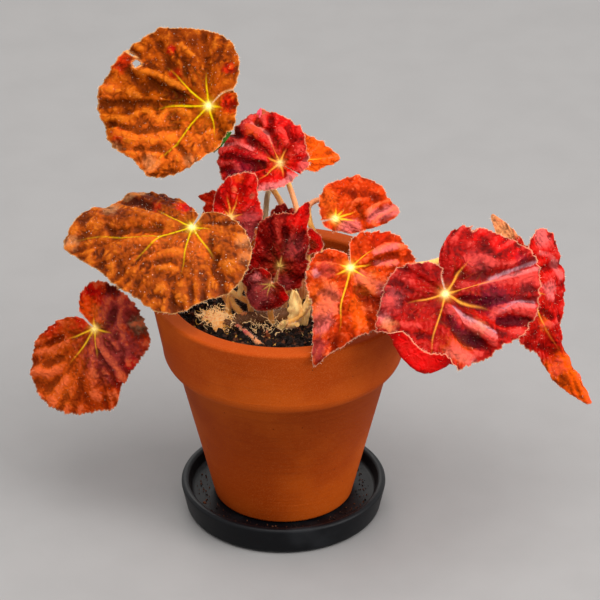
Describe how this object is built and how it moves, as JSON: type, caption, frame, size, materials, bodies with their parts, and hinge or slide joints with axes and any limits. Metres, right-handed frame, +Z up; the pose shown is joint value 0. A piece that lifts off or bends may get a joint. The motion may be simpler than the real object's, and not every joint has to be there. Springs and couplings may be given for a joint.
{
  "type": "potted begonia",
  "caption": "Begonia with toothed, puckered leaves on long stalks, in a clay pot on a round saucer.",
  "frame": {"origin": "centre of the saucer's underside, on the pot's axis", "axes": "+Z up along the pot's axis, -Y towards the front, +X to the right as seen from the front"},
  "size_m": [0.2741, 0.1466, 0.2438],
  "materials": {
    "saucer": "matte charcoal",
    "terracotta": "unglazed burnt orange clay",
    "soil": "dark crumbly potting mix",
    "stem": "hairy tan to green stalk",
    "leaf_amber": "orange-amber puckered blade with yellow veins",
    "leaf_orange_red": "orange-red puckered blade with yellow veins",
    "leaf_crimson": "crimson puckered blade with pink lights",
    "leaf_maroon": "dark maroon puckered blade"
  },
  "bodies": {
    "root": {"saucer": "saucer", "pot": "terracotta", "soil": "soil", "rhizome": "stem", "leaf_top_left": "leaf_amber", "leaf_mid_left": "leaf_amber", "leaf_lower_left": "leaf_orange_red", "leaf_upper_centre": "leaf_crimson", "leaf_upper_wedge": "leaf_orange_red", "leaf_small_left": "leaf_crimson", "leaf_centre": "leaf_maroon", "leaf_small_front": "leaf_maroon", "leaf_right_centre": "leaf_orange_red", "leaf_front_right": "leaf_orange_red", "leaf_far_right": "leaf_crimson", "leaf_edge_right": "leaf_crimson", "leaf_rolled_right": "leaf_crimson", "leaf_bud_right": "leaf_crimson", "leaf_behind_centre": "leaf_maroon", "leaf_sliver_left": "leaf_orange_red", "petiole_top_left": "stem", "petiole_mid_left": "stem", "petiole_lower_left": "stem", "petiole_upper_centre": "stem", "petiole_upper_wedge": "stem", "petiole_small_left": "stem", "petiole_centre": "stem", "petiole_small_front": "stem", "petiole_right_centre": "stem", "petiole_front_right": "stem", "petiole_far_right": "stem", "petiole_edge_right": "stem", "petiole_rolled_right": "stem", "petiole_bud_right": "stem", "petiole_behind_centre": "stem", "petiole_sliver_left": "stem"}
  },
  "joints": []
}
